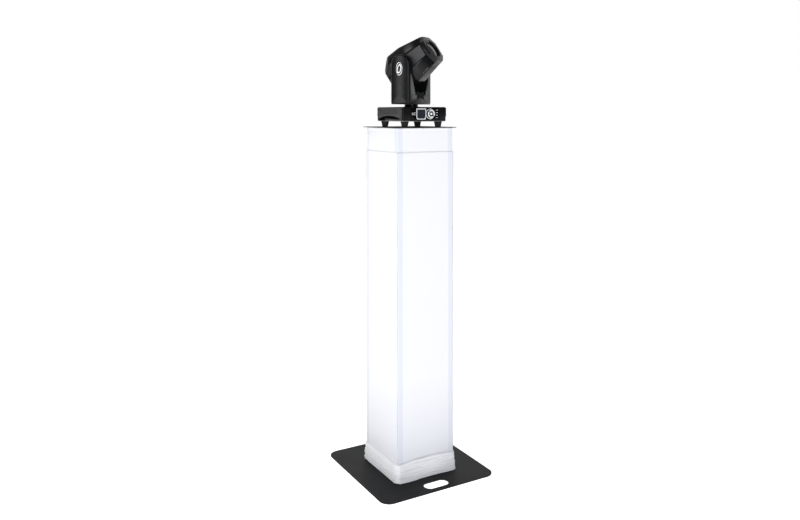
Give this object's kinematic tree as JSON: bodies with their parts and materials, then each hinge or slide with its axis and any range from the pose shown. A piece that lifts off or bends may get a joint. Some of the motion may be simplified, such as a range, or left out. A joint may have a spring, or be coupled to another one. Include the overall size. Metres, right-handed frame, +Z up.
{
  "type": "height-adjustable lighting tower with a moving-head light",
  "caption": "Square base plate carrying a telescopic post column in a white stretch cover, with a top plate and a moving-head stage light on it.",
  "frame": {"origin": "on the floor at the centre of the base plate's underside", "axes": "+Z up; -Y towards the hand slot and the light's control panel; +X to the right seen from that side"},
  "size_m": [0.6, 0.6, 2.0803],
  "materials": {
    "plate_coat": "satin powder coat",
    "post_coat": "fine powder coat",
    "post_steel": "drawn steel tube",
    "fastener": "blackened steel",
    "guide_plastic": "moulded nylon",
    "cover_cloth": "white stretch knit",
    "light_plastic": "fine-grained moulded plastic",
    "panel_plastic": "glossy",
    "display_glass": "clear window over a dark screen",
    "dial_plastic": "soft-touch",
    "lens_glass": "coated optical glass",
    "badge_metal": "bright",
    "foot_rubber": "matt",
    "connector": "moulded",
    "circuit_board": "lacquered",
    "motor_steel": "plain",
    "aluminium": "milled",
    "belt_rubber": "toothed"
  },
  "bodies": {
    "stand": {"base_plate": "plate_coat", "outer_post_front_left": "post_coat", "outer_post_front_right": "post_coat", "outer_post_back_left": "post_coat", "outer_post_back_right": "post_coat", "foot_bolts": "fastener", "post_collars": "guide_plastic", "brace_ring_mid": "post_coat", "brace_ring_top": "post_coat", "brace_screws": "fastener", "cover_lower": "cover_cloth"},
    "platform": {"top_plate": "plate_coat", "inner_post_front_left": "post_steel", "inner_post_front_right": "post_steel", "inner_post_back_left": "post_steel", "inner_post_back_right": "post_steel", "inner_glides": "guide_plastic", "top_screws": "fastener", "cover_upper": "cover_cloth", "fixture_feet": "foot_rubber", "base_pan": "motor_steel", "base_housing": "light_plastic", "control_panel": "panel_plastic", "display": "display_glass", "rear_panel": "light_plastic", "power_inlet": "connector", "xlr_sockets": "connector", "housing_screws": "fastener", "power_supply": "aluminium", "control_board": "circuit_board", "pan_motor": "motor_steel", "pan_belt": "belt_rubber", "pan_bearing": "motor_steel"},
    "encoder": {"encoder_shaft": "motor_steel"},
    "dial": {"jog_dial": "dial_plastic"},
    "pan_rotor": {"pan_motor_pulley": "aluminium"},
    "yoke": {"yoke_frame": "light_plastic", "pan_pulley": "aluminium", "arm_cover_left": "light_plastic", "arm_cover_right": "light_plastic", "arm_badges": "badge_metal", "tilt_motor": "motor_steel", "tilt_belt": "belt_rubber", "tilt_bearings": "motor_steel"},
    "tilt_rotor": {"tilt_motor_pulley": "aluminium"},
    "head": {"head_shell_top": "light_plastic", "head_shell_bottom": "light_plastic", "front_bezel": "light_plastic", "front_lens": "lens_glass", "head_chassis": "aluminium", "tilt_pulley": "aluminium", "led_heatsink": "aluminium"},
    "fan": {"cooling_fan": "guide_plastic"},
    "colour_disc": {"colour_wheel": "aluminium"},
    "gobo_disc": {"gobo_wheel": "aluminium"},
    "focus": {"focus_carriage": "guide_plastic"},
    "knob_front_left": {"lock_knob_front_left": "guide_plastic"},
    "knob_front_right": {"lock_knob_front_right": "guide_plastic"},
    "knob_back_left": {"lock_knob_back_left": "guide_plastic"},
    "knob_back_right": {"lock_knob_back_right": "guide_plastic"}
  },
  "joints": [
    {"name": "height_slide", "type": "slide", "parent": "stand", "child": "platform", "axis": [0, 0, 1], "range_m": [-0.1, 0.35], "deforming": ["cover_upper"]},
    {"name": "knob_front_left_turn", "type": "hinge", "parent": "stand", "child": "knob_front_left", "pos_m": [-0.105, -0.139, 1.462], "axis": [1, 0, 0], "range_deg": [0, 720]},
    {"name": "knob_front_right_turn", "type": "hinge", "parent": "stand", "child": "knob_front_right", "pos_m": [0.105, -0.139, 1.462], "axis": [-1, 0, 0], "range_deg": [0, 720]},
    {"name": "knob_back_left_turn", "type": "hinge", "parent": "stand", "child": "knob_back_left", "pos_m": [-0.105, 0.139, 1.462], "axis": [1, 0, 0], "range_deg": [0, 720]},
    {"name": "knob_back_right_turn", "type": "hinge", "parent": "stand", "child": "knob_back_right", "pos_m": [0.105, 0.139, 1.462], "axis": [-1, 0, 0], "range_deg": [0, 720]},
    {"name": "encoder_push", "type": "slide", "parent": "platform", "child": "encoder", "axis": [0, 1, 0], "range_m": [0, 0.0008], "stiffness_N_per_m": 2500},
    {"name": "dial_turn", "type": "hinge", "parent": "encoder", "child": "dial", "pos_m": [0.042, -0.13, 1.709], "axis": [0, -1, 0], "continuous": true},
    {"name": "pan", "type": "hinge", "parent": "platform", "child": "yoke", "pos_m": [0.012, 0, 1.7485], "axis": [0, 0, 1], "range_deg": [-302.5, 237.5]},
    {"name": "pan_motor_spin", "type": "hinge", "parent": "platform", "child": "pan_rotor", "pos_m": [0.084, 0.058, 1.696], "axis": [0, 0, 1], "range_deg": [-1512.5, 1187.5]},
    {"name": "tilt", "type": "hinge", "parent": "yoke", "child": "head", "pos_m": [0.012, 0, 1.943], "axis": [0.8434, 0.5373, 0], "range_deg": [-176.5, 63.5]},
    {"name": "tilt_motor_spin", "type": "hinge", "parent": "yoke", "child": "tilt_rotor", "pos_m": [0.0955, 0.05319, 1.78], "axis": [0.8434, 0.5373, 0], "range_deg": [-882.5, 317.5]},
    {"name": "fan_spin", "type": "hinge", "parent": "head", "child": "fan", "pos_m": [-0.03116, 0.06774, 1.89223], "axis": [-0.448, 0.7033, -0.5519], "continuous": true},
    {"name": "colour_wheel_spin", "type": "hinge", "parent": "head", "child": "colour_disc", "pos_m": [0.00728, -0.03539, 1.96108], "axis": [0.448, -0.7033, 0.5519], "continuous": true},
    {"name": "gobo_wheel_spin", "type": "hinge", "parent": "head", "child": "gobo_disc", "pos_m": [0.05055, -0.01771, 1.9666], "axis": [0.448, -0.7033, 0.5519], "continuous": true},
    {"name": "focus_slide", "type": "slide", "parent": "head", "child": "focus", "axis": [0.448, -0.7033, 0.5519], "range_m": [0, 0.024]}
  ],
  "couplings": [
    {"joint": "pan_motor_spin", "follows": "pan", "ratio": 5},
    {"joint": "tilt_motor_spin", "follows": "tilt", "ratio": 5}
  ]
}
